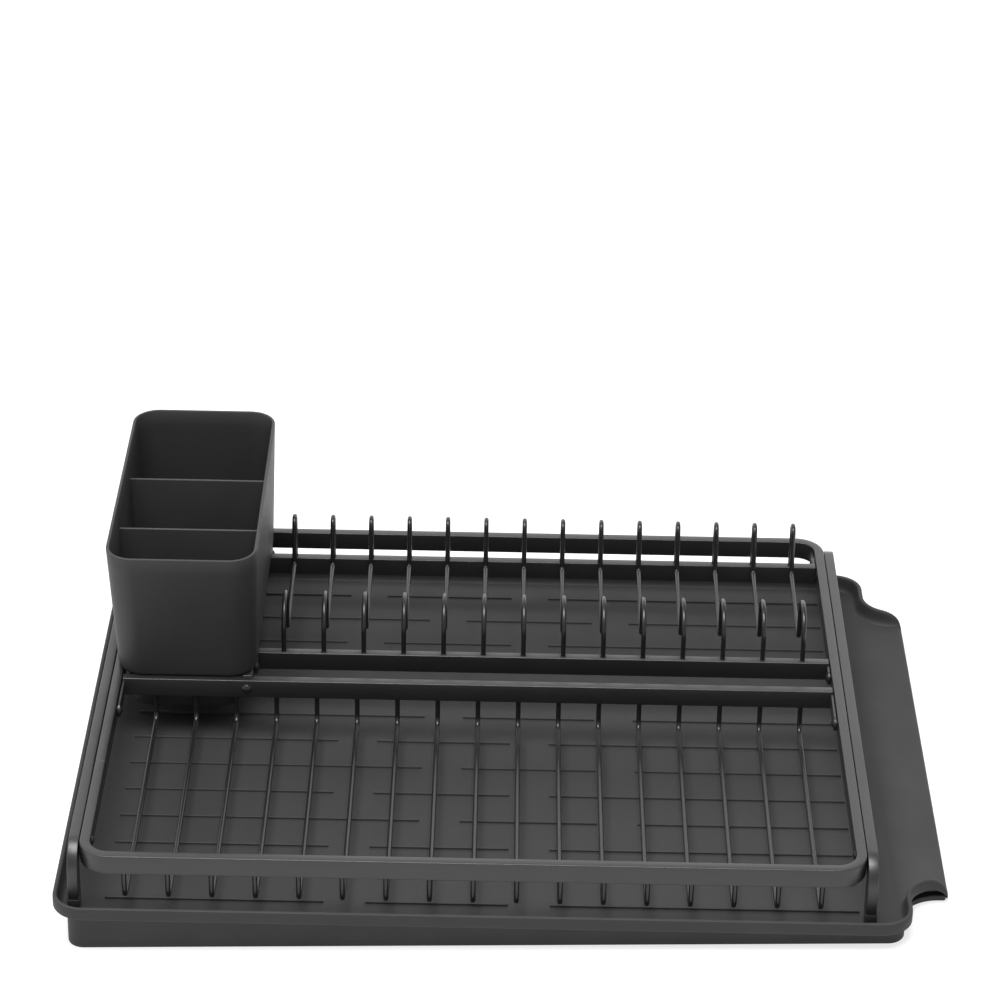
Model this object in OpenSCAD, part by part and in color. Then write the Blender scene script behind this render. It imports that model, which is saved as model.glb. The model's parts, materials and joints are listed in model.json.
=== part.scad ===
// Counter-top dish drying rack with a drip tray and a cutlery basket.
// Z = 0 is the worktop.  The tray is a wedge: its rim, its floor and the rack that stands in
// it all lean a little to the right, so that water runs to the spout.  Everything that
// leans is modelled level in the "rack frame" and put in place by lean().
// Rack frame: x from the ring's middle, y from the ring's middle, z = 0 on the ring's top.

/* [Whole rack] */
// Lean of the rack and the tray towards the spout, degrees
lean_angle = 1.7; // [0.5:0.1:2.5]
// Height of the ring's top above the worktop, at the ring's middle
ring_top = 57.5; // [54:0.5:64]
// Distance from one wire to the next
pitch = 25; // [22:0.5:28]
// Diameter of every wire
wire_d = 3; // [2:0.1:4]

/* [Flat bar] */
// Thickness of the flat bar
bar_t = 6; // [4:0.5:8]
// Height of the flat bar
bar_h = 12; // [10:0.5:16]

/* [Ring and legs] */
// Outside width of the ring
ring_w = 452.4; // [440:0.2:470]
// Outside depth of the ring
ring_d = 388; // [370:1:400]
// Outside corner radius of the ring
ring_r = 18; // [12:1:30]
// Air gap between the ring and a leg
leg_gap = 0.4; // [0.3:0.1:2]
// Distance from the ring's front to the front of a leg
leg_setback = 4.5; // [2:0.5:12]
// Outside radius of a leg's bends
leg_r = 17; // [12:1:24]
// Length of a foot's sleeve on the leg
foot_len = 7.5; // [5:0.5:12]
// Thickness of a foot's sleeve and of its sole
foot_wall = 0.6; // [0.4:0.1:1]

/* [Cross bars] */
// Middle of the bar that ends the front grid
middle_bar_y = 2.5; // [-5:0.5:8]
// Middle of the plate rack's front bar
plate_front_y = 36.4; // [33:0.2:42]
// Middle of the plate rack's rear bar
plate_rear_y = 157.2; // [150:0.2:160]
// Left face of the divider bar beside the basket
divider_x = -146; // [-150:1:-142]
// Clearance at the ends of the cross bars
bar_gap = 0.5; // [0.3:0.1:1]

/* [Rivets and lugs] */
// Distances of the rivets from the ring's middle
rivet_ys = [-169, -27, 26.5, 169];
// Shank diameter of a rivet
rivet_d = 4; // [3:0.5:5]
// Head diameter of a rivet
head_d = 6; // [5:0.5:8]
// Height of a rivet's head
head_h = 1.6; // [1:0.2:2]
// Thickness of a lug
lug_t = 1.5; // [1:0.1:2]
// Height of a lug
lug_h = 9; // [8:0.5:11]

/* [Front grid] */
// How many wires the grid has
grid_count = 17; // [10:1:18]
// Depth of the grid below the ring's top, at its back
grid_back = 30.2; // [25:0.2:32]
// Depth of the grid below the ring's top, at its front
grid_front = 30.6; // [25:0.2:32]
// Bend radius of a grid wire
grid_r = 6; // [3:0.5:8]

/* [Plate wires] */
// How many wires the plate rack has
plate_count = 14; // [8:1:14]
// Place of the first plate wire
plate_x = -122.1; // [-126:0.1:-120]
// Height of the rear prongs above the ring's top
rear_prong_h = 32.7; // [25:0.1:45]
// Height of the front prongs above the ring's top
front_prong_h = 31.9; // [25:0.1:45]
// Width of a rear prong between wire middles
rear_prong_w = 8.8; // [8:0.2:12]
// Width of a front prong between wire middles
front_prong_w = 32.6; // [28:0.2:36]

/* [Cutlery basket] */
// Height of the basket's rim above the ring's top
basket_top = 84.8; // [70:0.2:110]
// Depth of the part that hangs inside the ring
basket_drop = 26; // [15:1:32]
// Outside corner radius of the basket's rim
basket_r = 17; // [12:1:24]
// Wall thickness of the basket
basket_wall = 2; // [1.5:0.1:3]
// How far the dividers stay below the rim
divider_drop = 15.1; // [5:0.1:30]
// Thickness of a divider
divider_t = 1.6; // [1.2:0.1:3]
// Middles of the two dividers, from the ring's middle
divider_ys = [65.6, 130.8];

/* [Drip tray] */
// Depth of the tray, front to back
tray_d = 403; // [396:1:430]
// Length of the tray's basin
basin_w = 496.4; // [490:0.2:520]
// How far the spout stands out from the basin
spout_len = 24.5; // [20:0.5:30]
// Corner radius of the rim
rim_r = 18; // [12:1:28]
// Radius of the hollow corners beside the spout
bite_r = 18; // [16:0.5:20]
// Distance from the rim's front to the side of the spout
bite_y = 46.5; // [42:0.5:60]
// Distance of the rim below the ring's top
rim_drop = 31.6; // [30:0.1:34]
// Depth of the basin
basin_depth = 9.4; // [8:0.1:11]
// Height of the rim's outer skirt
skirt_h = 7.6; // [6:0.1:9]
// Wall thickness of the tray
tray_wall = 2; // [1.5:0.1:3]
// Width of a drainage rib
rib_w = 1.3; // [1:0.1:2]
// Height of a drainage rib
rib_h = 1.2; // [0.5:0.1:1.5]

/* [Hidden] */

$fn = 48;
eps = 0.01;
metal = "#3b3c3d";
plastic = "#3f4041";
rubber = "#161616";

// the ring stands this far left of the tray's middle
rack_x = -16.7;
floor_drop = rim_drop + basin_depth;
side_x = ring_w / 2;
rail_in = side_x - bar_t;
leg_in = side_x + leg_gap;
leg_out = leg_in + bar_t;
leg_y = ring_d / 2 - leg_setback;
rivet_z = -bar_h / 2;
// the grid stands this far off the ring's own middle lines
wire_shift = 0.3;
grid_x = -(grid_count - 1) / 2 * pitch + wire_shift;
divider_in = divider_x + bar_t;
// plate wires: the rear foot's place on its bar, the lean of the rear prong, the two ends of
// the low stretch between the prongs and its bends
rear_shift = 0.8;
prong_lean = 3.7;
floor_back_z = 0.4;
floor_front_z = -2.6;
floor_bend_r = 3;

// tray in the rack frame
basin_x0 = -242.2;
basin_x1 = basin_x0 + basin_w;
nose_x = basin_x1 + spout_len;
basin_cx = (basin_x0 + basin_x1) / 2;
rim_width = 3.2;
spout_y = tray_d / 2 - bite_y;
under_floor = -floor_drop - tray_wall;
// how far the base wall is set in from the rim, and from the neck and the spout
body_inset = 8;
neck_inset = 4;
// radius of the rolled nose, of the ridges' ends above it, and the cut at its lower corners
nose_r = 4;
ridge_r = 14;
nose_cut = 5;
// deeper than the worktop anywhere under the tray, and wider than the tray
deep = ring_top + 10;
tray_reach = 400;

function pad2(i) = i < 10 ? str("0", i) : str(i);
function grid_name(i) = str("grid_wire_", pad2(i));
function plate_name(i) = str("plate_wire_", pad2(i));

module lean() {
    translate([rack_x, 0, ring_top]) rotate([0, lean_angle, 0]) children();
}

// ---- general shapes -------------------------------------------------------

module rounded_rect(size, r) {
    for (sx = [-1, 1], sy = [-1, 1])
        translate([sx * (size.x / 2 - r), sy * (size.y / 2 - r)]) circle(r = r);
    square([size.x - 2 * r, size.y], center = true);
    square([size.x, size.y - 2 * r], center = true);
}

// box from one corner to the opposite one
module span_box(a, b) {
    translate(a) cube(b - a);
}

// a shape drawn in the Y-Z plane, made thick along X from x0
module side_plate(x0, t) {
    translate([x0, 0, 0]) rotate([90, 0, 90]) linear_extrude(t) children();
}

// Wire bent in the Y-Z plane through the corners pts; r holds one radius for each inner corner.
// A station is [y, z, heading]: one ring of the swept tube stands square to the heading there.
function heading(a, b) = atan2(b.y - a.y, b.x - a.x);
function turn(a, b, c) = let(p = b - a, q = c - b) atan2(p.x * q.y - p.y * q.x, p * q);

function bend(a, b, c, r) =
    let(
        angle = turn(a, b, c),
        side = sign(angle),
        start = b - (b - a) * (r * tan(abs(angle) / 2) / norm(b - a)),
        h = heading(a, b),
        middle = start + side * r * [-sin(h), cos(h)],
        steps = ceil(abs(angle) / 18)
    )
    [for (k = [0 : steps]) let(g = h + angle * k / steps)
        [middle.x + side * r * sin(g), middle.y - side * r * cos(g), g]];

function stations(pts, r) =
    let(n = len(pts) - 1)
    concat(
        [[pts[0].x, pts[0].y, heading(pts[0], pts[1])]],
        [for (i = [1 : n - 1]) each bend(pts[i - 1], pts[i], pts[i + 1], r[i - 1])],
        [[pts[n].x, pts[n].y, heading(pts[n - 1], pts[n])]]
    );

module bent_wire(x, pts, r) {
    path = stations(pts, r);
    sides = 8;
    last = len(path) - 1;
    points = [for (s = path, k = [0 : sides - 1])
        let(a = (k + 0.5) * 360 / sides, across = wire_d / 2 * sin(a))
        [x + wire_d / 2 * cos(a), s.x - across * sin(s.z), s.y + across * cos(s.z)]];
    skin = [for (i = [0 : last - 1], k = [0 : sides - 1])
        let(k1 = (k + 1) % sides)
        [i * sides + k, i * sides + k1, (i + 1) * sides + k1, (i + 1) * sides + k]];
    caps = [
        [for (k = [sides - 1 : -1 : 0]) k],
        [for (k = [0 : sides - 1]) last * sides + k]
    ];
    polyhedron(points, concat(skin, caps), convexity = 6);
}

// Rivet along X: domed head on the inner face, shank running outwards to its flush end.
module rivet(x_head, x_end, y) {
    way = sign(x_end - x_head);
    dome_r = (head_d * head_d / 4 + head_h * head_h) / (2 * head_h);
    translate([x_head, y, rivet_z]) rotate([0, way * 90, 0]) {
        cylinder(d = rivet_d, h = abs(x_end - x_head));
        intersection() {
            translate([0, 0, dome_r - head_h]) sphere(r = dome_r);
            translate([0, 0, -head_h]) cylinder(d = head_d, h = head_h);
        }
    }
}

module rivet_hole(x0, x1, y) {
    translate([min(x0, x1) - 1, y, rivet_z]) rotate([0, 90, 0])
        cylinder(d = rivet_d, h = abs(x1 - x0) + 2);
}

// Flat lug beside a rail: from the bar's face y_bar to just past the rivet at y_rivet.
module lug(x0, y_bar, y_rivet) {
    side_plate(x0, lug_t) difference() {
        union() {
            translate([y_rivet, rivet_z]) circle(d = lug_h);
            translate([min(y_bar, y_rivet), rivet_z - lug_h / 2])
                square([abs(y_bar - y_rivet), lug_h]);
        }
        translate([y_rivet, rivet_z]) circle(d = rivet_d);
    }
}

// ---- ring, legs and feet --------------------------------------------------

module frame_ring() {
    color(metal) lean() difference() {
        translate([0, 0, -bar_h]) linear_extrude(bar_h) difference() {
            rounded_rect([ring_w, ring_d], ring_r);
            rounded_rect([ring_w - 2 * bar_t, ring_d - 2 * bar_t], ring_r - bar_t);
        }
        for (side = [-1, 1], y = rivet_ys) rivet_hole(side * rail_in, side * side_x, y);
        translate([divider_x + bar_t / 2, ring_d / 2 + 1, rivet_z]) rotate([90, 0, 0])
            cylinder(d = rivet_d, h = bar_t + 2);
    }
}

// one flat bar bent down at both ends
module leg(x0) {
    drop = floor_drop - foot_wall;
    color(metal) lean() difference() {
        side_plate(x0, bar_t) difference() {
            leg_outline(leg_y, leg_r, 0, drop);
            leg_outline(leg_y - bar_t, leg_r - bar_t, bar_h, drop + 1);
        }
        for (y = rivet_ys) rivet_hole(x0, x0 + bar_t, y);
    }
}

module leg_outline(half, r, top, bottom) {
    for (side = [-1, 1]) translate([side * (half - r), -top - r]) circle(r = r);
    translate([-half + r, -bottom]) square([2 * (half - r), bottom - top]);
    translate([-half, -bottom]) square([2 * half, bottom - top - r]);
}

module leg_left() { leg(-leg_out); }
module leg_right() { leg(leg_in); }

// sleeve with a closed sole, on the lower end of a leg
module foot(x0, y0) {
    low = -floor_drop;
    skin = [foot_wall, foot_wall, 0];
    color(rubber) lean() difference() {
        span_box([x0, y0, low] - skin, [x0 + bar_t, y0 + bar_t, low + foot_len] + skin);
        span_box([x0, y0, low + foot_wall], [x0 + bar_t, y0 + bar_t, low + foot_len + 1]);
    }
}

module foot_front_left() { foot(-leg_out, -leg_y); }
module foot_rear_left() { foot(-leg_out, leg_y - bar_t); }
module foot_front_right() { foot(leg_in, -leg_y); }
module foot_rear_right() { foot(leg_in, leg_y - bar_t); }

// y of the rivets that also hold a lug
function has_lug(side, y) = y == rivet_ys[1] || (side > 0 && y != rivet_ys[0]);

module rivets(side) {
    color(metal) lean() for (y = rivet_ys)
        rivet(side * (rail_in - (has_lug(side, y) ? bar_gap + lug_t : 0)), side * leg_out, y);
}

module rivets_left() { rivets(-1); }
module rivets_right() { rivets(1); }

// ---- cross bars -----------------------------------------------------------

module cross_bar(x0, x1, y) {
    span_box([x0, y - bar_t / 2, -bar_h], [x1, y + bar_t / 2, 0]);
}

module middle_bar() {
    color(metal) lean() difference() {
        cross_bar(-rail_in + bar_gap, rail_in - bar_gap, middle_bar_y);
        translate([divider_x + bar_t / 2, middle_bar_y + bar_t, rivet_z]) rotate([90, 0, 0])
            cylinder(d = rivet_d, h = 2 * bar_t);
    }
}

module middle_bar_lugs() {
    y_face = middle_bar_y - bar_t / 2;
    color(metal) lean() {
        lug(-rail_in + bar_gap, y_face, rivet_ys[1]);
        lug(rail_in - bar_gap - lug_t, y_face, rivet_ys[1]);
    }
}

module divider_bar() {
    y0 = middle_bar_y + bar_t / 2;
    y1 = ring_d / 2 - bar_t;
    color(metal) lean() difference() {
        span_box([divider_x, y0, -bar_h], [divider_in, y1, 0]);
        for (y = [rivet_ys[2], rivet_ys[3]]) rivet_hole(divider_x, divider_in, y);
        for (y = [y0 + bar_t, y1 + 1]) translate([divider_x + bar_t / 2, y, rivet_z]) rotate([90, 0, 0])
            cylinder(d = rivet_d, h = bar_t + 1);
    }
}

// the two rivets that hold the divider bar to the middle bar and to the ring's rear rail
module divider_rivets() {
    front = middle_bar_y - bar_t / 2;
    rear = ring_d / 2;
    // through one bar and most of the way through the divider's end hole
    shank = 2 * bar_t - 0.6;
    color(metal) lean() translate([divider_x + bar_t / 2, 0, 0]) {
        translate([0, front, 0]) rotate([0, 0, 90]) rivet(0, shank, 0);
        translate([0, rear, 0]) rotate([0, 0, -90]) rivet(0, shank, 0);
    }
}

// ---- wires ----------------------------------------------------------------

module grid_wire(i) {
    back = middle_bar_y;
    front = -ring_d / 2 + bar_t / 2 + wire_shift;
    color(metal) lean() bent_wire(
        grid_x + (i - 1) * pitch,
        [[back, -bar_h], [back, -grid_back], [front, -grid_front], [front, -bar_h]],
        [grid_r, grid_r]
    );
}

// foot on the rear bar, narrow rear prong, floor, wide front prong, foot on the front bar
module plate_wire(i) {
    rear = plate_rear_y + rear_shift;
    rear_top = rear_prong_h - wire_d / 2;
    front_top = front_prong_h - wire_d / 2;
    floor_back = [rear - rear_prong_w - prong_lean, floor_back_z];
    floor_front = [plate_front_y + front_prong_w, floor_front_z];
    // a little under half the prong's width, so that a short straight stays on top
    narrow = rear_prong_w / 2 - 0.3;
    wide = front_prong_w / 2 - 0.1;
    color(metal) lean() bent_wire(
        plate_x + (i - 1) * pitch,
        [
            [rear, 0],
            [rear, rear_top],
            [rear - rear_prong_w, rear_top],
            floor_back,
            floor_front,
            [plate_front_y + front_prong_w, front_top],
            [plate_front_y, front_top],
            [plate_front_y, 0]
        ],
        [narrow, narrow, floor_bend_r, floor_bend_r, wide, wide]
    );
}

// ---- plate rack -----------------------------------------------------------

module plate_front_bar() {
    color(metal) lean() cross_bar(divider_in + bar_gap, rail_in - bar_gap, plate_front_y);
}

module plate_rear_bar() {
    color(metal) lean() cross_bar(divider_in + bar_gap, rail_in - bar_gap, plate_rear_y);
}

module plate_lugs() {
    color(metal) lean() for (x = [divider_in + bar_gap, rail_in - bar_gap - lug_t]) {
        lug(x, plate_front_y - bar_t / 2, rivet_ys[2]);
        lug(x, plate_rear_y + bar_t / 2, rivet_ys[3]);
    }
}

module plate_rivets() {
    color(metal) lean() for (y = [rivet_ys[2], rivet_ys[3]])
        rivet(divider_in + bar_gap + lug_t, divider_x, y);
}

// ---- cutlery basket -------------------------------------------------------

// plans of the basket as [x0, x1, y0, y1]: the rim, the shoulder that rests on the bars, and
// the top and the bottom of the part that hangs between them
rim = [-228.7, -136.1, -1, 199];
shoulder = [-223.7, -137.8, 3.3, 191.5];
hang = [-218, -147.6, 7, 186.5];
hang_low = [-214.5, -148.4, 9, 183];
// how deep a divider is let into the side walls and the floor
divider_sink = 1;

function lift(a, b, t) = a + (b - a) * t;

module basket_plan(p, r, inset) {
    translate([(p[0] + p[1]) / 2, (p[2] + p[3]) / 2])
        rounded_rect([p[1] - p[0] - 2 * inset, p[3] - p[2] - 2 * inset], r - inset);
}

// a tapered block with rounded corners, from plan a at za to plan b at zb
module basket_block(a, za, b, zb, r, inset) {
    hull() {
        translate([0, 0, za]) linear_extrude(eps) basket_plan(a, r, inset, $fn = 32);
        translate([0, 0, zb - eps]) linear_extrude(eps) basket_plan(b, r, inset, $fn = 32);
    }
}

module cutlery_basket() {
    low = -basket_drop;
    color(plastic) lean() {
        difference() {
            union() {
                basket_block(shoulder, 0, rim, basket_top, basket_r, 0);
                basket_block(hang_low, low, hang, eps, basket_r - 5, 0);
            }
            basket_block(shoulder, basket_wall, rim, basket_top + 2 * eps, basket_r, basket_wall);
            basket_block(
                hang_low, low + basket_wall, hang, basket_wall + eps, basket_r - 5, basket_wall
            );
        }
        basket_dividers(low);
    }
}

module basket_dividers(low) {
    top = basket_top - divider_drop;
    up = top / basket_top;
    d = divider_sink;
    for (y = divider_ys)
        translate([0, y + divider_t / 2, 0]) rotate([90, 0, 0]) linear_extrude(divider_t)
            polygon([
                [hang_low[0] + d, low + d], [hang_low[1] - d, low + d],
                [hang[1] - d, d], [shoulder[1] - d, d],
                [lift(shoulder[1], rim[1], up) - d, top], [lift(shoulder[0], rim[0], up) + d, top],
                [shoulder[0] + d, d], [hang[0] + d, d]
            ]);
}

// ---- drip tray ------------------------------------------------------------

// plan of the tray: basin, spout and the hollow corners between them.  inset counts on the
// basin's three closed sides, neck on the side that carries the spout and round the spout.
module tray_plan(inset, neck) {
    n = is_undef(neck) ? inset : neck;
    half_y = spout_y - n;
    translate([basin_cx + (inset - n) / 2, 0])
        rounded_rect([basin_w - inset - n, tray_d - 2 * inset], rim_r - inset);
    translate([basin_cx, -half_y]) square([nose_x - basin_cx - n, 2 * half_y]);
    for (side = [0, 1]) mirror([0, side]) difference() {
        translate([basin_x1 - n - 1, half_y - 1]) square(bite_r + n + 1);
        translate([basin_x1 + bite_r, spout_y + bite_r]) circle(r = bite_r + n);
    }
}

module tray_wall_ring(outer, inner, z0, z1) {
    translate([0, 0, z0]) linear_extrude(z1 - z0) difference() {
        tray_plan(outer);
        tray_plan(inner);
    }
}

// thin ribs that keep rims off the floor: three to a row, in a brick pattern
rib_rows = 13;
rib_span = 352.6;
rib_gap = 25.4;
rib_lengths = [125.5, 81.5, 178.5];
rib_x0 = basin_cx - 218.5;
// the rows between the first and the last lie up to this far forward of an even spacing
rib_bow = 3.1;

function rib_length(row, i) = rib_lengths[row % 2 == 0 ? i : 2 - i];
function rib_start(row, i) =
    i == 0 ? rib_x0 : rib_start(row, i - 1) + rib_length(row, i - 1) + rib_gap;
function rib_y(row) =
    let(t = 2 * row / (rib_rows - 1) - 1) t * rib_span / 2 - rib_bow * (1 - t * t);

module tray_ribs() {
    for (row = [0 : rib_rows - 1], i = [0 : 2])
        translate([rib_start(row, i), rib_y(row), -floor_drop - eps])
            linear_extrude(rib_h + eps) {
                translate([0, -rib_w / 2]) square([rib_length(row, i), rib_w]);
                circle(d = rib_w);
                translate([rib_length(row, i), 0]) circle(d = rib_w);
            }
}

// space above the rounded end of the spout, drawn in X-Z
module above_nose() {
    difference() {
        translate([nose_x - ridge_r, -rim_drop - ridge_r]) square(2 * ridge_r);
        translate([nose_x - ridge_r, -rim_drop - ridge_r]) circle(r = ridge_r);
    }
}

module along_spout(half_y) {
    translate([0, half_y, 0]) rotate([90, 0, 0]) linear_extrude(2 * half_y) children();
}

// section of the nose out to radius r: a quarter turn, then straight down
module roll_section(r) {
    circle(r = r);
    translate([0, -deep]) square([r, deep]);
}

// The spout's floor rolls over a quarter turn and goes down to the worktop.  Its lower
// corners are cut away.
module nose() {
    x0 = nose_x - nose_r;
    difference() {
        along_spout(spout_y) intersection() {
            translate([x0, -floor_drop - nose_r]) difference() {
                roll_section(nose_r);
                roll_section(nose_r - tray_wall);
            }
            translate([x0, -deep]) square([nose_r + 1, deep - floor_drop]);
        }
        for (side = [0, 1]) mirror([0, side, 0])
            span_box([x0, spout_y - nose_cut, -deep], [nose_x + 1, spout_y + 1, under_floor]);
    }
}

module tray_top() {
    half_y = spout_y - rim_width;
    difference() {
        union() {
            tray_wall_ring(0, rim_width, -rim_drop - skirt_h, -rim_drop);
            tray_wall_ring(rim_width - tray_wall, rim_width, under_floor, -rim_drop);
        }
        along_spout(tray_d) above_nose();
        span_box([nose_x - nose_r, -half_y, under_floor - 1], [nose_x + 1, half_y, 0]);
    }
    translate([0, 0, under_floor]) linear_extrude(tray_wall) difference() {
        tray_plan(rim_width - tray_wall);
        translate([nose_x - nose_r, -tray_d]) square(2 * tray_d);
    }
    nose();
    tray_ribs();
}

// wedge-shaped wall from the floor down to the worktop, set in from the rim
module tray_base() {
    translate([0, 0, -deep]) linear_extrude(deep - floor_drop - tray_wall / 2) difference() {
        tray_plan(body_inset, neck_inset);
        tray_plan(body_inset + tray_wall, neck_inset + tray_wall);
    }
}

// whatever reaches below the worktop
module below_worktop() {
    translate([-tray_reach, -tray_reach, -tray_reach])
        cube([2 * tray_reach, 2 * tray_reach, tray_reach]);
}

module drip_tray() {
    color(plastic) difference() {
        lean() {
            tray_top();
            tray_base();
        }
        below_worktop();
    }
}

drip_tray();
frame_ring();
leg_left();
leg_right();
foot_front_left();
foot_rear_left();
foot_front_right();
foot_rear_right();
rivets_left();
rivets_right();
middle_bar();
middle_bar_lugs();
divider_bar();
divider_rivets();
for (i = [1 : grid_count]) grid_wire(i);
plate_front_bar();
plate_rear_bar();
plate_lugs();
plate_rivets();
for (i = [1 : plate_count]) plate_wire(i);
cutlery_basket();
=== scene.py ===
import json
import math

import bmesh
import bpy
from mathutils import Matrix, Vector


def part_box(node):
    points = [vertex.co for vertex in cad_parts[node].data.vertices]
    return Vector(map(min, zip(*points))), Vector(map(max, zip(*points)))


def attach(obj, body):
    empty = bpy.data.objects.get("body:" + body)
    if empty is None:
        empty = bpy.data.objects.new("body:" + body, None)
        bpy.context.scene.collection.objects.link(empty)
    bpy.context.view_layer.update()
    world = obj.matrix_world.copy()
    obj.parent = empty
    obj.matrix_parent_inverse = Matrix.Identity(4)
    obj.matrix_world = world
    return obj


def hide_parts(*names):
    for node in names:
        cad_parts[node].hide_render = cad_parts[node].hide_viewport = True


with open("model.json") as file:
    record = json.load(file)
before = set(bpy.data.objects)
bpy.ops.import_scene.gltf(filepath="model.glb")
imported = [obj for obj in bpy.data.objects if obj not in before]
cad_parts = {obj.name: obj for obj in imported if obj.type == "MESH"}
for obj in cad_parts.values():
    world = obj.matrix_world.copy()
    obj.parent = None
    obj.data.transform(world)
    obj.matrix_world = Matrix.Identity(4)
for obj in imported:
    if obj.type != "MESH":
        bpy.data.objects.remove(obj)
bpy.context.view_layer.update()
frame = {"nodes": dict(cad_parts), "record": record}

# Lengths are in millimetres in the rack frame: x, y from the ring's middle, z = 0 on its top.
# RACK turns a point of that leaning frame into the model's own frame, in metres.
LEAN = math.radians(1.7)
BAR_T = 6.0
BAR_H = 12.0
RING_R = 18.0
WIRE_R = 1.5
QUARTER_STEPS = 18
QUARTER_STEP = 90 / QUARTER_STEPS


def rack_matrix():
    low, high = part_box("frame_ring")
    lean = Matrix.Rotation(LEAN, 4, "Y")
    middle = (low + high) / 2
    top = middle + lean @ Vector((0, 0, BAR_H / 2000))
    return Matrix.Translation(top) @ lean @ Matrix.Scale(0.001, 4)


RACK = rack_matrix()
TO_RACK = RACK.inverted()
RING_TOP = RACK.translation.z * 1000


def rack_box(node):
    """Lowest and highest corner of a CAD node in the rack frame, in millimetres."""
    points = [TO_RACK @ v.co for v in frame["nodes"][node].data.vertices]
    low = Vector([min(p[i] for p in points) for i in range(3)])
    high = Vector([max(p[i] for p in points) for i in range(3)])
    return low, high


def worktop(x):
    """Height of the worktop in the rack frame, under a point at x."""
    return (x * math.sin(LEAN) - RING_TOP) / math.cos(LEAN)


# ---------------------------------------------------------------- mesh helpers


class Shell:
    """Collects vertices and faces of one piece, in the rack frame."""

    def __init__(self):
        self.verts = []
        self.faces = []

    def ring(self, points):
        start = len(self.verts)
        self.verts.extend(Vector(p) for p in points)
        return list(range(start, start + len(points)))

    def skin(self, rings, closed=True, cap=True):
        """Quads between neighbouring rings, and a face over each end."""
        ids = [self.ring(r) for r in rings]
        self.bridge(ids, closed)
        if cap:
            self.faces.append(list(reversed(ids[0])))
            self.faces.append(ids[-1])
        return ids

    def bridge(self, ids, closed=True):
        count = len(ids[0])
        steps = count if closed else count - 1
        for low, high in zip(ids, ids[1:]):
            for k in range(steps):
                k1 = (k + 1) % count
                self.faces.append([low[k], low[k1], high[k1], high[k]])

    def loop(self, rings):
        """Closed tube whose last ring joins the first."""
        ids = [self.ring(r) for r in rings]
        self.bridge(ids + [ids[0]])
        return ids


def make_piece(name, shell, node, material, sharp=35.0, floor_at_zero=False):
    mesh = bpy.data.meshes.new(name)
    points = [RACK @ v for v in shell.verts]
    if floor_at_zero:
        for p in points:
            p.z = max(p.z, 0.0)
    mesh.from_pydata([tuple(p) for p in points], [], shell.faces)
    mesh.validate()
    piece = bpy.data.objects.new(name, mesh)
    bpy.context.scene.collection.objects.link(piece)
    tidy_normals(mesh)
    mesh.polygons.foreach_set("use_smooth", [True] * len(mesh.polygons))
    mesh.set_sharp_from_angle(angle=math.radians(sharp))
    mesh.materials.append(material)
    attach(piece, BODY_OF[node])
    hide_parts(node)
    return piece


def tidy_normals(mesh):
    bm = bmesh.new()
    bm.from_mesh(mesh)
    bmesh.ops.recalc_face_normals(bm, faces=bm.faces)
    bm.to_mesh(mesh)
    bm.free()


BODY_OF = {n: b for b, ns in frame["record"]["behaviour"]["bodies"].items() for n in ns}


# ---------------------------------------------------------------- 2D outlines


def arc(cx, cy, r, a0, a1, steps):
    angles = [math.radians(a0 + (a1 - a0) * k / steps) for k in range(steps + 1)]
    return [(cx + r * math.cos(a), cy + r * math.sin(a)) for a in angles]


def rounded_rect(x0, x1, y0, y1, r, steps=6):
    corners = [(x1 - r, y1 - r, 0), (x0 + r, y1 - r, 90), (x0 + r, y0 + r, 180), (x1 - r, y0 + r, 270)]
    return [p for cx, cy, a in corners for p in arc(cx, cy, r, a, a + 90, steps)]


def circle(r, sides):
    angles = [2 * math.pi * k / sides for k in range(sides)]
    return [(r * math.cos(a), r * math.sin(a)) for a in angles]


# ---------------------------------------------------------------- flat bars

EDGE = 0.5
END_EDGE = 0.3
BAR_PIECES = 12
SEAM_Y = -94.0
# the butt weld in the ring: (distance along the bar, depth of the groove)
SEAM = ((1.2, 0.0), (0.35, 0.0), (0.0, 0.3), (-0.35, 0.0), (-1.2, 0.0))
LEG_BEND_R = 17.0
LEG_TOP_PIECES = 6


def bar_profile(shrink=0.0, edge=EDGE):
    w = BAR_T / 2 - shrink
    h = BAR_H / 2 - shrink
    return rounded_rect(-w, w, -h, h, edge, 3)


def station(at, across, up, profile):
    at, across, up = Vector(at), Vector(across), Vector(up)
    return [at + across * a + up * b for a, b in profile]


def with_soft_ends(stations, along, profile, shrunk):
    """Adds the small rounding at both ends of an open bar. A station is (at, across, up)."""
    first, last = stations[0], stations[-1]
    rings = [station(*first, shrunk)]
    inner = (Vector(first[0]) + Vector(along[0]) * EDGE, first[1], first[2])
    rings.append(station(*inner, profile))
    rings += [station(*s, profile) for s in stations[1:-1]]
    inner = (Vector(last[0]) - Vector(along[1]) * EDGE, last[1], last[2])
    rings.append(station(*inner, profile))
    rings.append(station(*last, shrunk))
    return rings


def straight_bar(start, end, across, up):
    way = (Vector(end) - Vector(start)).normalized()
    shares = [k / BAR_PIECES for k in range(BAR_PIECES + 1)]
    stations = [(Vector(start).lerp(Vector(end), t), across, up) for t in shares]
    shell = Shell()
    shell.skin(with_soft_ends(stations, (way, way), bar_profile(), bar_profile(EDGE, END_EDGE)))
    return shell


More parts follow.
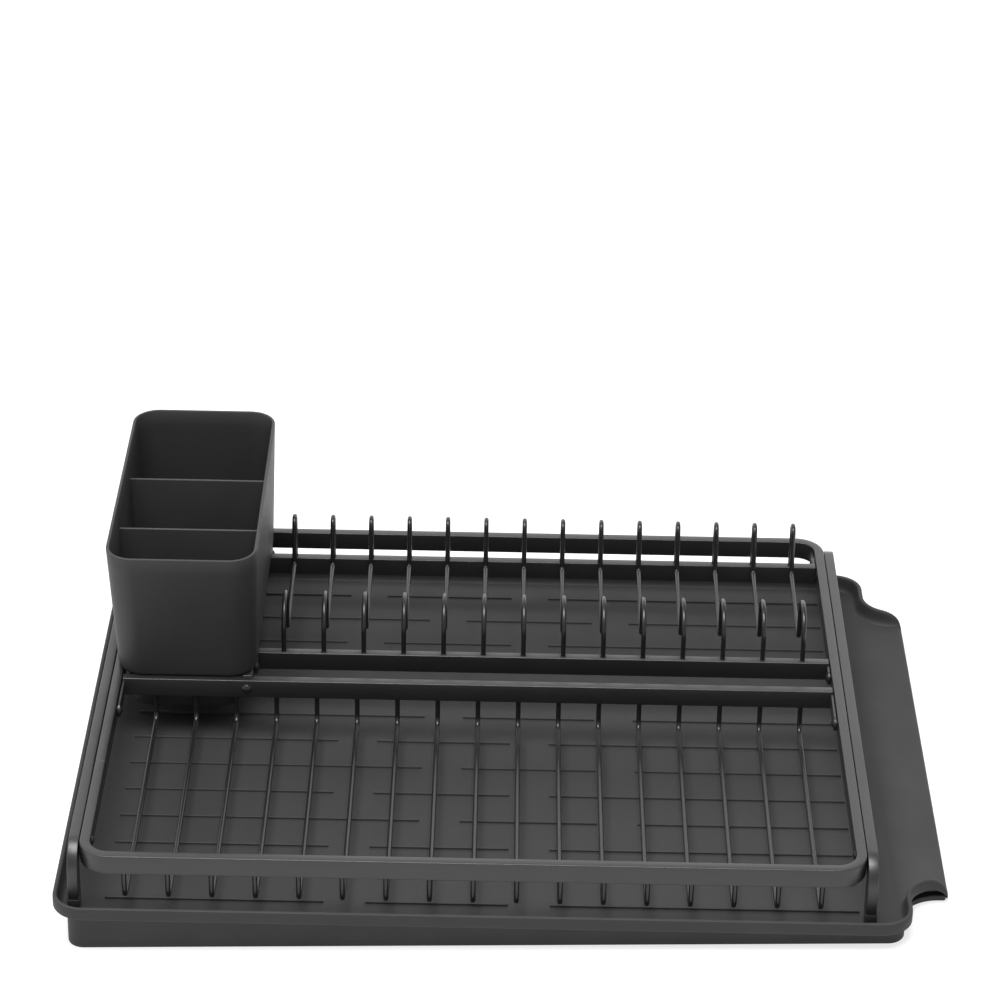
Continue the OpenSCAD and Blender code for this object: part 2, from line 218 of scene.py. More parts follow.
def ring_shell(node):
    """Closed loop of bar with a butt weld in its left side."""
    high = rack_box(node)[1]
    half_w = high.x - BAR_T / 2
    half_d = high.y - BAR_T / 2
    r = RING_R - BAR_T / 2
    path = []
    for cx, cy, a0 in ((1, 1, 0), (-1, 1, 90), (-1, -1, 180), (1, -1, 270)):
        centre = Vector((cx * (half_w - r), cy * (half_d - r), -BAR_H / 2))
        for k in range(QUARTER_STEPS + 1):
            a = math.radians(a0 + QUARTER_STEP * k)
            out = Vector((math.cos(a), math.sin(a), 0))
            path.append((centre + out * r, out, 0.0))
        if a0 == 90:
            for offset, depth in SEAM:
                at = Vector((-half_w, SEAM_Y + offset, -BAR_H / 2))
                path.append((at, Vector((-1, 0, 0)), depth))
    shell = Shell()
    shell.loop([station(at, out, (0, 0, 1), bar_profile(depth)) for at, out, depth in path])
    return shell


def leg_shell(node):
    """One bar bent on edge: down, over the top and down again."""
    low, high = rack_box(node)
    x = (low.x + high.x) / 2
    half = high.y - BAR_H / 2
    bend_r = LEG_BEND_R - BAR_H / 2
    top = -BAR_H / 2
    stations = [((x, -half, low.z), (1, 0, 0), (0, -1, 0))]
    for k in range(QUARTER_STEPS + 1):
        a = math.radians(180 - QUARTER_STEP * k)
        out = Vector((0, math.cos(a), math.sin(a)))
        stations.append((Vector((x, -half + bend_r, top - bend_r)) + out * bend_r, (1, 0, 0), out))
    for k in range(1, 2 * LEG_TOP_PIECES):
        y = (-half + bend_r) * (1 - k / LEG_TOP_PIECES)
        stations.append(((x, y, top), (1, 0, 0), (0, 0, 1)))
    for k in range(QUARTER_STEPS + 1):
        a = math.radians(90 - QUARTER_STEP * k)
        out = Vector((0, math.cos(a), math.sin(a)))
        stations.append((Vector((x, half - bend_r, top - bend_r)) + out * bend_r, (1, 0, 0), out))
    stations.append(((x, half, low.z), (1, 0, 0), (0, 1, 0)))
    shell = Shell()
    along = ((0, 0, 1), (0, 0, -1))
    shell.skin(with_soft_ends(stations, along, bar_profile(), bar_profile(EDGE, END_EDGE)))
    return shell


def foot_shell(node):
    """Moulded sleeve: rounded outside, a rolled lip at the top, closed below."""
    low, high = rack_box(node)
    wall = 0.6

    def outline(inset, z):
        r = max(1.5 - inset, 0.5)
        pts = rounded_rect(low.x + inset, high.x - inset, low.y + inset, high.y - inset, r, 4)
        return [(px, py, z) for px, py in pts]

    shell = Shell()
    shell.skin([
        outline(0.9, low.z),
        outline(0.25, low.z + 0.25),
        outline(0.0, low.z + 0.9),
        outline(0.0, high.z - 0.5),
        outline(0.12, high.z - 0.12),
        outline(0.35, high.z),
        outline(wall, high.z - 0.15),
    ])
    return shell


# ---------------------------------------------------------------- wires


WIRE_SIDES = 14
BEND_STEP = 8
# the weld fillet at a wire's end: (distance along the wire, radius)
WELD = ((0.0, 1.85), (0.2, 1.72), (0.5, 1.56), (0.9, WIRE_R))


def bend(a, b, c, r):
    """Stations (y, z, heading) of the round bend at corner b."""
    h0 = math.atan2(b[1] - a[1], b[0] - a[0])
    h1 = math.atan2(c[1] - b[1], c[0] - b[0])
    angle = (h1 - h0 + math.pi) % (2 * math.pi) - math.pi
    side = math.copysign(1, angle)
    trim = r * math.tan(abs(angle) / 2)
    sy, sz = b[0] - trim * math.cos(h0), b[1] - trim * math.sin(h0)
    my, mz = sy - side * r * math.sin(h0), sz + side * r * math.cos(h0)
    steps = max(2, round(abs(math.degrees(angle)) / BEND_STEP))
    heads = [h0 + angle * k / steps for k in range(steps + 1)]
    return [(my + side * r * math.sin(h), mz - side * r * math.cos(h), h) for h in heads]


def wire_shell(x, corners, radii):
    heading = math.atan2(corners[1][1] - corners[0][1], corners[1][0] - corners[0][0])
    path = [(*corners[0], heading)]
    for i in range(1, len(corners) - 1):
        path += bend(corners[i - 1], corners[i], corners[i + 1], radii[i - 1])
    a, b = corners[-2], corners[-1]
    path.append((*b, math.atan2(b[1] - a[1], b[0] - a[0])))

    def ring_at(y, z, h, r):
        normal = Vector((0, -math.sin(h), math.cos(h)))
        return [Vector((x + p, y, z)) + normal * q for p, q in circle(r, WIRE_SIDES)]

    def collar(s, way):
        """Small weld fillet where the wire's end meets a bar."""
        step = Vector((0, math.cos(s[2]), math.sin(s[2]))) * way
        return [ring_at(s[0] + step.y * d, s[1] + step.z * d, s[2], r) for d, r in WELD]

    rings = collar(path[0], 1)
    rings += [ring_at(*s, WIRE_R) for s in path[1:-1]]
    rings += reversed(collar(path[-1], -1))
    shell = Shell()
    shell.skin(rings)
    return shell


GRID_BEND_R = 6.0
GRID_FALL = 0.4


def grid_wire_shell(node):
    low, high = rack_box(node)
    x = (low.x + high.x) / 2
    back = high.y - WIRE_R
    front = low.y + WIRE_R
    deep = low.z + WIRE_R
    corners = [(back, -BAR_H), (back, deep + GRID_FALL), (front, deep), (front, -BAR_H)]
    return wire_shell(x, corners, [GRID_BEND_R, GRID_BEND_R])


REAR_PRONG_W = 8.8
FRONT_PRONG_W = 32.6
FRONT_PRONG_DROP = 0.8
REAR_FOOT_SLANT = 3.7
REAR_FOOT_Z = 0.4
FRONT_FOOT_Z = -2.6
FOOT_BEND_R = 3.0


def plate_wire_shell(node):
    """A narrow rear prong, a nearly level stretch that the plates stand on, and a wide front prong."""
    low, high = rack_box(node)
    x = (low.x + high.x) / 2
    rear = high.y - WIRE_R
    front = low.y + WIRE_R
    rear_top = high.z - WIRE_R
    front_top = rear_top - FRONT_PRONG_DROP
    corners = [
        (rear, 0.0),
        (rear, rear_top),
        (rear - REAR_PRONG_W, rear_top),
        (rear - REAR_PRONG_W - REAR_FOOT_SLANT, REAR_FOOT_Z),
        (front + FRONT_PRONG_W, FRONT_FOOT_Z),
        (front + FRONT_PRONG_W, front_top),
        (front, front_top),
        (front, 0.0),
    ]
    small = REAR_PRONG_W / 2 - 0.3
    large = FRONT_PRONG_W / 2 - 0.1
    return wire_shell(x, corners, [small, small, FOOT_BEND_R, FOOT_BEND_R, large, large])


# ---------------------------------------------------------------- rivets and lugs

RIVET_Y = (-169.0, -27.0, 26.5, 169.0)
HEAD_R = 3.0
HEAD_H = 1.6
SHANK_R = 2.0
DOME_STEPS = 8
HEAD_SIDES = 24
LUG_T = 1.5
# from the rail to the side of the lug that the rivet head lies on
LUG_REACH = 2.0
LUG_R = 4.5
LUG_EDGE = 0.2
DIVIDER_SHANK = 11.4


def rivet_into(shell, at, way, length):
    """Domed head on the near side of at, shank running along way to its flush end."""
    at, way = Vector(at), Vector(way).normalized()
    side = way.orthogonal().normalized()
    other = way.cross(side)
    dome = (HEAD_R**2 + HEAD_H**2) / (2 * HEAD_H)
    reach = math.asin(HEAD_R / dome)
    profile = [(0.05, -HEAD_H)]
    for k in range(1, DOME_STEPS):
        a = reach * k / DOME_STEPS
        profile.append((dome * math.sin(a), dome - HEAD_H - dome * math.cos(a)))
    profile += [(HEAD_R - 0.05, -0.18), (HEAD_R, -0.1), (HEAD_R - 0.05, 0.0), (SHANK_R, 0.0)]
    profile += [(SHANK_R, length - 0.3), (SHANK_R - 0.3, length)]
    rings = []
    for r, d in profile:
        rings.append([at + way * d + side * p + other * q for p, q in circle(r, HEAD_SIDES)])
    shell.skin(rings)


def rivets_shell(node):
    low, high = rack_box(node)
    sign = 1 if high.x > 0 else -1
    leg_face = high.x if sign > 0 else low.x
    rail_face = rack_box("frame_ring")[1].x - BAR_T
    lug_x = rail_face - LUG_REACH
    shell = Shell()
    for k, y in enumerate(RIVET_Y):
        lugged = k == 1 or (sign > 0 and k > 1)
        start = sign * (lug_x if lugged else rail_face)
        rivet_into(shell, (start, y, -BAR_H / 2), (sign, 0, 0), abs(leg_face - start))
    return shell


def plate_rivets_shell(node):
    low, high = rack_box(node)
    start = high.x - HEAD_H
    shell = Shell()
    for y in RIVET_Y[2:]:
        rivet_into(shell, (start, y, -BAR_H / 2), (-1, 0, 0), start - low.x)
    return shell


def divider_rivets_shell(node):
    low, high = rack_box(node)
    x = (low.x + high.x) / 2
    shell = Shell()
    rivet_into(shell, (x, low.y + HEAD_H, -BAR_H / 2), (0, 1, 0), DIVIDER_SHANK)
    rivet_into(shell, (x, high.y - HEAD_H, -BAR_H / 2), (0, -1, 0), DIVIDER_SHANK)
    return shell


def lug_into(shell, x0, bar_y, rivet_y):
    """Strip with one round end, its edges slightly broken."""
    away = 1 if rivet_y > bar_y else -1

    def outline(x, shrink):
        r = LUG_R - shrink
        start = -90 * away
        pts = arc(rivet_y, -BAR_H / 2, r, start, start + 180, 16)
        pts += [(bar_y, -BAR_H / 2 + away * r), (bar_y, -BAR_H / 2 - away * r)]
        return [(x, py, pz) for py, pz in pts]

    x1 = x0 + LUG_T
    shell.skin([
        outline(x0, LUG_EDGE),
        outline(x0 + LUG_EDGE, 0),
        outline(x1 - LUG_EDGE, 0),
        outline(x1, LUG_EDGE),
    ])


def middle_lugs_shell(node):
    low, high = rack_box(node)
    shell = Shell()
    for x0 in (low.x, high.x - LUG_T):
        lug_into(shell, x0, high.y, RIVET_Y[1])
    return shell


def plate_lugs_shell(node):
    low, high = rack_box(node)
    front_face = rack_box("plate_front_bar")[0].y
    rear_face = rack_box("plate_rear_bar")[1].y
    shell = Shell()
    for x0 in (low.x, high.x - LUG_T):
        lug_into(shell, x0, front_face, RIVET_Y[2])
        lug_into(shell, x0, rear_face, RIVET_Y[3])
    return shell


# ---------------------------------------------------------------- cutlery basket


DIVIDER_YS = (65.6, 130.8)
DIVIDER_DROP = 15.1
BASKET_WALL = 2.0
UPPER_R = 17.0
LOWER_R = 12.0
# the part that hangs in the rack, at its top and at its floor: (left, right, front, rear)
HANG = (-218.0, -147.6, 7.0, 186.5)
HANG_LOW = (-214.5, -148.4, 9.0, 183.0)
# how far the shoulder that rests on the rack lies inside the rim, in the same order
SHOULDER_IN = (5.0, -1.7, 4.3, -7.5)


def blend(a, b, t):
    return [p + (q - p) * t for p, q in zip(a, b)]


def basket_outline(plan, inset, r, z):
    x0, x1, y0, y1 = plan
    pts = rounded_rect(x0 + inset, x1 - inset, y0 + inset, y1 - inset, max(r - inset, 1.0), 10)
    return [(px, py, z) for px, py in pts]


def basket_shell(node):
    """Tapered box with a step all round that rests on the rack, and two dividers."""
    low, high = rack_box(node)
    top = high.z
    bottom = low.z
    wall = BASKET_WALL
    rim = (low.x, high.x, low.y, high.y)
    shoulder = [r + i for r, i in zip(rim, SHOULDER_IN)]

    def upper(z, inset):
        return basket_outline(blend(shoulder, rim, z / top), inset, UPPER_R, z)

    def lower(z, inset):
        return basket_outline(blend(HANG_LOW, HANG, (z - bottom) / -bottom), inset, LOWER_R, z)

    rings = [lower(bottom, 2.6), lower(bottom + 0.7, 0.9), lower(bottom + 2.2, 0.0), lower(-3.0, 0.0)]
    rings += [lower(-0.01, -0.6)]
    rings += [upper(0.0, 2.2), upper(0.35, 0.9), upper(1.2, 0.2), upper(2.4, 0.0)]
    rings += [upper(top * k / 8, 0.0) for k in range(1, 8)]
    rings += [upper(top - 0.7, 0.0), upper(top - 0.2, 0.25), upper(top, 0.7), upper(top, wall - 0.7)]
    rings += [upper(top - 0.2, wall - 0.25), upper(top - 0.7, wall)]
    rings += [upper(top * k / 8, wall) for k in range(7, 0, -1)]
    rings += [upper(4.5, wall), upper(2.7, wall + 0.8), upper(wall, wall + 3.0)]
    rings += [lower(0.8, wall + 0.4), lower(-1.5, wall), lower(bottom + 5.0, wall)]
    rings += [lower(bottom + 3.0, wall + 0.8), lower(bottom + wall, wall + 3.0)]
    shell = Shell()
    shell.skin(rings)
    for y in DIVIDER_YS:
        divider_into(shell, y, shoulder, rim, top, bottom)
    return shell


def divider_into(shell, y, shoulder, rim, top, bottom):
    """Thin wall across the basket, its top edge rounded and let a little into both side walls."""
    half = 0.8
    divider_top = top - DIVIDER_DROP
    sink = 1.0
    plans = [(bottom + 1, HANG_LOW), (0.5, HANG)]
    plans += [(z, blend(shoulder, rim, z / top)) for z in (0.9, divider_top - 0.8)]
    levels = [(z, plan[0] + sink, plan[1] - sink) for z, plan in plans]
    x0, x1 = levels[-1][1:]
    rings = [[(a, y - half, z), (b, y - half, z), (b, y + half, z), (a, y + half, z)] for z, a, b in levels]
    for z, w in ((divider_top - 0.3, 0.7), (divider_top - 0.08, 0.5), (divider_top, 0.2)):
        rings.append([(x0, y - w, z), (x1, y - w, z), (x1, y + w, z), (x0, y + w, z)])
    shell.skin(rings)


# ---------------------------------------------------------------- drip tray

SKIRT_H = 7.6
SKIRT_FALL = 6.3
LEAST_SKIRT = 1.6
RIM_DROP = 31.6
BASIN_DEPTH = 9.4
SHEET = 1.8
RIM_R = 18.0
BITE_R = 18.0
TRAY_LEFT = -242.2
TRAY_LEN = 496.4
SPOUT_LEN = 24.5
NOSE_CLEAR = 0.15
NOSE_R = 4.0
RIDGE_R = 14.0
BITE_Y = 46.5
NOSE_TRIM = 3.0
FOOT_TRIM = 5.0
LEAST_RIDGE = 0.4
ROLL_STEPS = 10
TIP_R = 1.6
RIM_SHEET = 1.1
FLOOR_Z = -RIM_DROP - BASIN_DEPTH


class TrayPlan:
    """Outline of the tray at any inset, always with the same number of points."""

    def __init__(self):
        low, high = rack_box("drip_tray")
        self.x0 = TRAY_LEFT
        self.x1 = self.x0 + TRAY_LEN
        self.nose = self.x1 + SPOUT_LEN - NOSE_CLEAR
        self.half_d = (high.y - low.y) / 2
        self.spout = self.half_d - BITE_Y

    def nose_corner(self, side):
        """Points along the end of the spout's side, from the nose inwards."""
        pts = [(self.nose, self.spout - side - FOOT_TRIM)]
        for k in range(ROLL_STEPS):
            share = math.sin(math.radians(90 * (1 - k / (ROLL_STEPS - 1))))
            x = self.nose - NOSE_R + NOSE_R * share
            pts.append((x, self.spout - side - NOSE_TRIM * share**4))
        return pts

    def base_corner(self, side, tip):
        """The same number of points round the corner of the base wall under the nose."""
        cx, cy = self.nose - tip - TIP_R, self.spout - side - TIP_R
        return arc(cx, cy, TIP_R, 0, 90, ROLL_STEPS)

    def half(self, inset, neck, start):
        """Rear half: from the nose, round the hollow corner and the rim to the left side's middle.
        start holds the points at the nose."""
        corner = RIM_R - inset
        pts = list(start)
        pts += arc(self.x1 + BITE_R, self.spout + BITE_R, BITE_R + neck, 270, 180, 14)
        right, back, left = self.x1 - neck, self.half_d - inset, self.x0 + inset
        pts += arc(right - corner, back - corner, corner, 0, 90, 12)
        for k in range(1, 10):
            pts.append((right - corner + (left - right + 2 * corner) * k / 10, back))
        pts += arc(left + corner, back - corner, corner, 90, 180, 12)
        for k in range(1, 5):
            pts.append((left, (back - corner) * (1 - k / 5)))
        return pts

    def whole(self, inset):
        rear = self.half(inset, inset, self.nose_corner(inset))
        front = [(x, -y) for x, y in reversed(rear)]
        return rear + front

    def base(self, inset, neck, tip):
        rear = self.half(inset, neck, self.base_corner(neck, tip))
        front = [(x, -y) for x, y in reversed(rear)]
        return rear + front


def smooth(t):
    t = min(max(t, 0.0), 1.0)
    return t * t * (3 - 2 * t)


class TrayHeights:
    """Heights of the floor sheet, the ridge round it and the skirt, by how far right a point is."""

    def __init__(self, plan):
        self.roll = plan.nose - NOSE_R
        self.fall = plan.nose - RIDGE_R
        self.neck = plan.x1

    def sheet(self, x):
        d = min(max(x - self.roll, 0.0), NOSE_R)
        return FLOOR_Z - (NOSE_R - math.sqrt(NOSE_R**2 - d**2))

    def lean_out(self, x):
        """Sine and cosine of the sheet's slope where it rolls over."""
        s = min(max((x - self.roll) / NOSE_R, 0.0), 1.0)
        return s, math.sqrt(1 - s * s)

    def ridge(self, x):
        d = min(max(x - self.fall, 0.0), RIDGE_R)
        fallen = -RIM_DROP - (RIDGE_R - math.sqrt(RIDGE_R**2 - d**2))
        return max(fallen, self.sheet(x) + LEAST_RIDGE)

    def skirt(self, x):
        t = max((x - self.neck) / SPOUT_LEN - 0.5, 0.0) * 2
        low = -RIM_DROP - SKIRT_H - SKIRT_FALL * t**3
        return max(self.ridge(x) - low, LEAST_SKIRT)


# inner face of the tray's wall: (inset, share of the wall's height)
WALL = (
    (5.8, 0.0),
    (5.2, 0.03),
    (4.6, 0.10),
    (4.05, 0.21),
    (3.6, 0.36),
    (3.3, 0.54),
    (3.0, 0.73),
    (2.75, 0.90),
)
# rounded top of the ridge: (inset, distance below the ridge)
CREST = ((2.45, 0.35), (2.0, 0.08), (1.4, 0.0), (0.8, 0.08), (0.3, 0.35), (0.05, 0.9))
# rounded lower edge of the skirt: (inset, height above that edge)
SKIRT_EDGE = ((0.0, 0.5), (0.25, 0.1), (0.7, 0.0), (1.2, 0.15), (1.4, 0.6))


def wall_back(tall, sheet, s, c):
    """The wall's other side, from under the ridge down to the floor's underside."""
    back = []
    for k in range(len(WALL) - 2, -1, -1):
        i, h = WALL[k]
        thick = SHEET + (RIM_SHEET - SHEET) * h
        if k == 0:
            across, up = 0.0, 1.0
        else:
            di = WALL[k - 1][0] - WALL[k + 1][0]
            dz = tall * (WALL[k + 1][1] - WALL[k - 1][1])
            size = math.hypot(di, dz)
            across, up = dz / size, di / size
        back.append((i - thick * across, -s * thick * up, sheet + tall * h - c * thick * up))
    return back


def rim_profile(sheet, ridge, skirt, s, c):
    """Cross-section from the floor over the ridge to the skirt and back under the sheet.
    Each point is (inset, x shift, z)."""
    tall = ridge - sheet
    top = [(i, 0.0, sheet + tall * h) for i, h in WALL]
    crest = [(i, 0.0, ridge - drop) for i, drop in CREST]
    low = ridge - skirt
    edge = [(i, 0.0, low + rise) for i, rise in SKIRT_EDGE]
    under = [(1.5, 0.0, ridge - 2.2)]
    return top + crest + edge + under + wall_back(tall, sheet, s, c)


def tray_shell(node):
    plan = TrayPlan()
    heights = TrayHeights(plan)
    shell = Shell()
    base = plan.whole(0.0)
    count = len(base)
    profiles = []
    for i, (x, y) in enumerate(base):
        s, c = heights.lean_out(x)
        sheet, ridge = heights.sheet(x), heights.ridge(x)
        if i in (0, count - 1):
            # the nose's straight part ends on the worktop
            sheet = worktop(x)
            ridge = sheet + LEAST_RIDGE
        profiles.append(rim_profile(sheet, ridge, heights.skirt(x), s, c))
    width = len(profiles[0])
    columns = []
    for j in range(width):
        outlines = {}
        column = []
        for i in range(count):
            inset, shift, z = profiles[i][j]
            key = round(inset, 4)
            if key not in outlines:
                outlines[key] = plan.whole(inset)
            x, y = outlines[key][i]
            column.append((x + shift, y, z))
        columns.append(shell.ring(column))
    shell.bridge(columns, closed=False)
    top, bottom = columns[0], columns[-1]
    for skin in (top, bottom):
        for k in range(ROLL_STEPS):
            shell.faces.append([skin[k], skin[k + 1], skin[count - 2 - k], skin[count - 1 - k]])
        shell.faces.append(skin[ROLL_STEPS : count - ROLL_STEPS])
    shell.faces.append([c[0] for c in columns])
    shell.faces.append([c[-1] for c in columns])
    shell.faces.append([top[0], top[-1], bottom[-1], bottom[0]])
    tray_ribs(shell, plan)
    tray_base(shell, plan, heights)
    return shell


RIB_ROWS = 13
RIB_SPAN = 352.6
RIB_GAP = 25.4
RIB_BOW = 3.1
RIB_LENGTHS = (125.5, 81.5, 178.5)
RIB_START = 218.5
# half of a rib's cross-section: (half width, height above the floor)
RIB_PROFILE = ((0.65, -0.3), (0.65, 0.95), (0.58, 1.12), (0.4, 1.2))


def tray_ribs(shell, plan):
    """Thin ribs in a brick pattern, three to a row, with round ends and rounded tops."""
    middle = (plan.x0 + plan.x1) / 2
    for row in range(RIB_ROWS):
        t = 2 * row / (RIB_ROWS - 1) - 1
        y = t * RIB_SPAN / 2 - RIB_BOW * (1 - t * t)
        lengths = RIB_LENGTHS if row % 2 == 0 else RIB_LENGTHS[::-1]
        x = middle - RIB_START
        for length in lengths:
            rib_into(shell, x, x + length, y)
            x += length + RIB_GAP


def rib_into(shell, x0, x1, y):
    def outline(r, z):
        right = arc(x1, y, r, -90, 90, 8)
        left = arc(x0, y, r, 90, 270, 8)
        return [(px, py, FLOOR_Z + z) for px, py in right + left]

    shell.skin([outline(r, z) for r, z in RIB_PROFILE])


BASE_INSET = 8.0
NECK_INSET = 4.0
SPOUT_INSET = 8.0
TIP_INSET = 0.9
BASE_WALL = 2.0
DRAW_IN_LEN = 6
TO_THE_TOP = 90.0
# both sides of the base wall: (height above the worktop, how far it is drawn in under the spout,
# extra inset)
BASE_OUTER = (
    (TO_THE_TOP, 1.0, 0.0),
    (4.6, 1.0, 0.0),
    (4.1, 0.9, 0.0),
    (3.8, 0.4, 0.0),
    (3.6, 0.08, 0.0),
    (3.2, 0.0, 0.0),
    (0.5, 0.0, 0.0),
    (0.15, 0.0, 0.12),
    (0.0, 0.0, 0.4),
)
BASE_INNER = (
    (0.0, 0.0, BASE_WALL - 0.3),
    (0.4, 0.0, BASE_WALL),
    (6.0, 1.0, BASE_WALL),
    (TO_THE_TOP, 1.0, BASE_WALL),
)


def tray_base(shell, plan, heights):
    """Wedge-shaped wall down to the worktop, set in from the rim; under the spout it stands on a
    low foot and is drawn in above it."""
    under = FLOOR_Z - SHEET / 2
    rings = []
    for above, share, extra in BASE_OUTER + BASE_INNER:
        tip = TIP_INSET + extra
        wide = plan.base(BASE_INSET + extra, NECK_INSET + extra, tip)
        narrow = plan.base(BASE_INSET + extra, SPOUT_INSET + extra, tip)
        ring = []
        for (xa, ya), (xb, yb) in zip(wide, narrow):
            t = share * smooth((xa - plan.x1) / DRAW_IN_LEN)
            x = xa + (xb - xa) * t
            y = ya + (yb - ya) * t
            top = min(under, heights.sheet(x) - SHEET / 2)
            ring.append((x, y, min(worktop(x) + above, top)))
        rings.append(ring)
    shell.loop(rings)


# ---------------------------------------------------------------- materials


def node_tree(name):
    material = bpy.data.materials.new(name)
    material.use_nodes = True
    tree = material.node_tree
    tree.nodes.clear()
    output = tree.nodes.new("ShaderNodeOutputMaterial")
    shader = tree.nodes.new("ShaderNodeBsdfPrincipled")
    tree.links.new(shader.outputs["BSDF"], output.inputs["Surface"])
    return material, tree, shader


def noise(tree, scale, detail, coords, roughness=0.5):
    node = tree.nodes.new("ShaderNodeTexNoise")
    node.inputs["Scale"].default_value = scale
    node.inputs["Detail"].default_value = detail
    node.inputs["Roughness"].default_value = roughness
    tree.links.new(coords, node.inputs["Vector"])
    return node.outputs["Fac"]


def ramp(tree, value, stops):
    """Colour ramp; stops are (position, grey or rgb)."""
    node = tree.nodes.new("ShaderNodeValToRGB")
    ramp_data = node.color_ramp
    while len(ramp_data.elements) < len(stops):
        ramp_data.elements.new(0.5)
    for element, (position, colour) in zip(ramp_data.elements, stops):
        element.position = position
        rgb = colour if isinstance(colour, tuple) else (colour, colour, colour)
        element.color = (*rgb, 1.0)
    tree.links.new(value, node.inputs["Fac"])
    return node.outputs["Color"]


def bump(tree, height, strength, distance, normal=None):
    node = tree.nodes.new("ShaderNodeBump")
    node.inputs["Strength"].default_value = strength
    node.inputs["Distance"].default_value = distance
    tree.links.new(height, node.inputs["Height"])
    if normal is not None:
        tree.links.new(normal, node.inputs["Normal"])
    return node.outputs["Normal"]


def scaled(colour, factor):
    return tuple(c * factor for c in colour)


def coated(name, colour, grain_scale, grain, rough, spread, edge_highlight, shine):
    """Powder coat or moulded plastic: fine grain, soft blotches of tone and gloss, and paler edges that are
    a painted highlight.
    """
    material, tree, shader = node_tree(name)
    coords = tree.nodes.new("ShaderNodeTexCoord").outputs["Object"]
    blotch = noise(tree, 14.0, 4.0, coords)
    speck = noise(tree, grain_scale, 2.0, coords, 0.6)
    base = ramp(tree, blotch, [(0.3, scaled(colour, 0.93)), (0.7, scaled(colour, 1.07))])
    fleck = ramp(tree, speck, [(0.35, 0.93), (0.65, 1.07)])
    mix = tree.nodes.new("ShaderNodeMix")
    mix.data_type = "RGBA"
    mix.blend_type = "MULTIPLY"
    mix.inputs["Factor"].default_value = 1.0
    tree.links.new(base, mix.inputs["A"])
    tree.links.new(fleck, mix.inputs["B"])
    geometry = tree.nodes.new("ShaderNodeNewGeometry")
    # painted highlight: sharp edges, picked out by pointiness, get a colour up to 2.1 times paler
    edge = ramp(tree, geometry.outputs["Pointiness"], [(0.51, 0.0), (0.60, edge_highlight)])
    highlit_edges = tree.nodes.new("ShaderNodeMix")
    highlit_edges.data_type = "RGBA"
    tree.links.new(edge, highlit_edges.inputs["Factor"])
    tree.links.new(mix.outputs["Result"], highlit_edges.inputs["A"])
    highlit_edges.inputs["B"].default_value = (*scaled(colour, 2.1), 1.0)
    tree.links.new(highlit_edges.outputs["Result"], shader.inputs["Base Color"])
    gloss = noise(tree, 30.0, 5.0, coords)
    roughness = ramp(tree, gloss, [(0.3, rough - spread), (0.7, rough + spread)])
    tree.links.new(roughness, shader.inputs["Roughness"])
    fine = bump(tree, speck, grain, 0.00012)
    waves = noise(tree, 60.0, 2.0, coords)
    tree.links.new(bump(tree, waves, grain * 0.35, 0.0002, fine), shader.inputs["Normal"])
    shader.inputs["Specular IOR Level"].default_value = shine
    return material


# name: (grey, grain scale, grain, roughness, its spread, painted edge highlight, shine)
FINISHES = {
    "coated_bar": (0.009, 2600.0, 0.55, 0.36, 0.04, 0.5, 0.60),
    "coated_wire": (0.007, 2200.0, 0.08, 0.30, 0.03, 0.2, 0.5),
    "rivet_steel": (0.009, 2200.0, 0.25, 0.28, 0.04, 0.3, 0.5),
    "tray_plastic": (0.0135, 1800.0, 0.45, 0.70, 0.04, 0.35, 0.5),
    "basket_plastic": (0.015, 1800.0, 0.45, 0.58, 0.04, 0.35, 0.5),
    "foot_rubber": (0.008, 1500.0, 0.4, 0.72, 0.06, 0.1, 0.5),
}


def materials():
    return {name: coated(name, (f[0], f[0], f[0]), *f[1:]) for name, f in FINISHES.items()}


# ---------------------------------------------------------------- the pieces


def cross_bar_shell(node):
    low, high = rack_box(node)
    y = (low.y + high.y) / 2
    return straight_bar((low.x, y, -BAR_H / 2), (high.x, y, -BAR_H / 2), (0, 1, 0), (0, 0, 1))


def divider_bar_shell(node):
    low, high = rack_box(node)
    x = (low.x + high.x) / 2
    return straight_bar((x, low.y, -BAR_H / 2), (x, high.y, -BAR_H / 2), (1, 0, 0), (0, 0, 1))


MAKERS = {
    "drip_tray": tray_shell,
    "frame_ring": ring_shell,
    "leg_left": leg_shell,
    "leg_right": leg_shell,
    "rivets_left": rivets_shell,
    "rivets_right": rivets_shell,
    "middle_bar": cross_bar_shell,
    "middle_bar_lugs": middle_lugs_shell,
    "divider_bar": divider_bar_shell,
    "divider_rivets": divider_rivets_shell,
    "plate_front_bar": cross_bar_shell,
    "plate_rear_bar": cross_bar_shell,
    "plate_lugs": plate_lugs_shell,
    "plate_rivets": plate_rivets_shell,
    "cutlery_basket": basket_shell,
}


def maker_for(node):
    if node.startswith("grid_wire"):
        return grid_wire_shell
    if node.startswith("plate_wire"):
        return plate_wire_shell
    if node.startswith("foot_"):
        return foot_shell
    return MAKERS[node]


def build_all():
    finish = materials()
    slots = {s["node"]: s["material_slot"] for s in frame["record"]["subparts"]}
    for node in sorted(frame["nodes"]):
        slot = slots[node]
        shell = maker_for(node)(node)
        on_worktop = node == "drip_tray"
        make_piece(node + "_finished", shell, node, finish[slot], floor_at_zero=on_worktop)


# ---------------------------------------------------------------- room, light and camera

CAMERA_AT = (0.0287, -1.8561, 1.2012)
CAMERA_TURN = (61.362, 0.723, 0.534)
LENS = 126.86
FLOOR_HALF = 30.0
FLOOR_GREY = 0.35
FLOOR_GLOW = 0.7
WORLD_LIGHT = 0.55
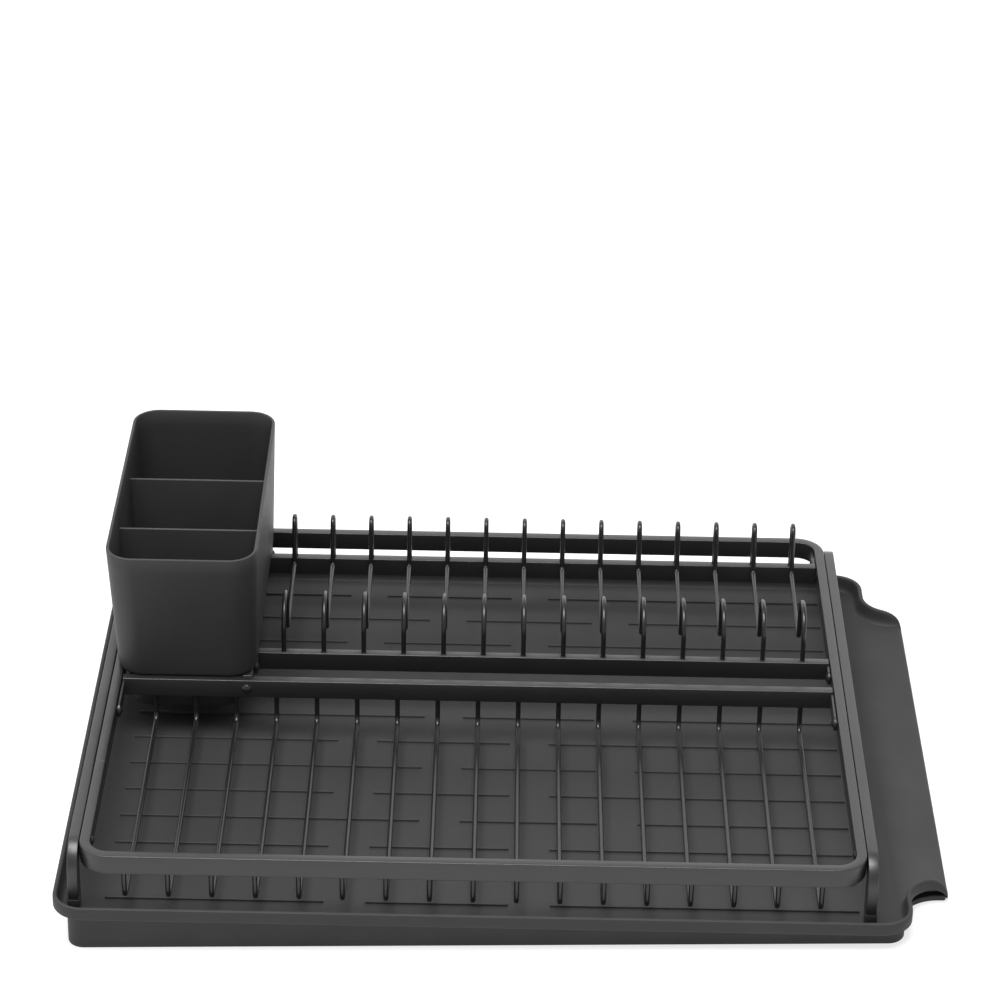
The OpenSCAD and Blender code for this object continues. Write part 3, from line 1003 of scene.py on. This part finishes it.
# name: (position, what it points at, size, power)
LIGHTS = {
    "top_box": ((-0.2, -0.45, 1.9), (0, 0, 0), (1.5, 0.9), 60.0),
    "back_wall": ((0.0, 2.6, 1.5), (0, 0, 1.5), (5.0, 3.0), 49.0),
    "left_box": ((-2.2, -0.3, 1.2), (0, 0, 0.1), (1.2, 1.6), 10.0),
}


def add_camera():
    data = bpy.data.cameras.new("camera")
    data.lens = LENS
    data.sensor_width = 36.0
    data.clip_end = 50.0
    camera = bpy.data.objects.new("camera", data)
    camera.location = CAMERA_AT
    camera.rotation_euler = [math.radians(a) for a in CAMERA_TURN]
    bpy.context.scene.collection.objects.link(camera)
    bpy.context.scene.camera = camera


def add_floor():
    mesh = bpy.data.meshes.new("floor")
    half = FLOOR_HALF
    corners = [(-half, -half, 0), (half, -half, 0), (half, half, 0), (-half, half, 0)]
    mesh.from_pydata(corners, [], [[0, 1, 2, 3]])
    floor = bpy.data.objects.new("floor", mesh)
    bpy.context.scene.collection.objects.link(floor)
    material, _, shader = node_tree("floor_paint")
    shader.inputs["Base Color"].default_value = (FLOOR_GREY, FLOOR_GREY, FLOOR_GREY, 1.0)
    shader.inputs["Roughness"].default_value = 0.9
    shader.inputs["Emission Color"].default_value = (1.0, 1.0, 1.0, 1.0)
    shader.inputs["Emission Strength"].default_value = FLOOR_GLOW
    mesh.materials.append(material)


def add_light(name, at, target, size, power):
    data = bpy.data.lights.new(name, "AREA")
    data.shape = "RECTANGLE"
    data.size, data.size_y = size
    data.energy = power
    light = bpy.data.objects.new(name, data)
    light.location = at
    light.rotation_euler = (Vector(target) - Vector(at)).to_track_quat("-Z", "Y").to_euler()
    bpy.context.scene.collection.objects.link(light)


def add_studio():
    world = bpy.data.worlds.new("studio")
    world.use_nodes = True
    background = world.node_tree.nodes["Background"]
    background.inputs["Color"].default_value = (1.0, 1.0, 1.0, 1.0)
    background.inputs["Strength"].default_value = WORLD_LIGHT
    bpy.context.scene.world = world
    bpy.context.scene.view_settings.view_transform = "Standard"
    for name, (at, target, size, power) in LIGHTS.items():
        add_light(name, at, target, size, power)


add_camera()
build_all()
add_floor()
add_studio()
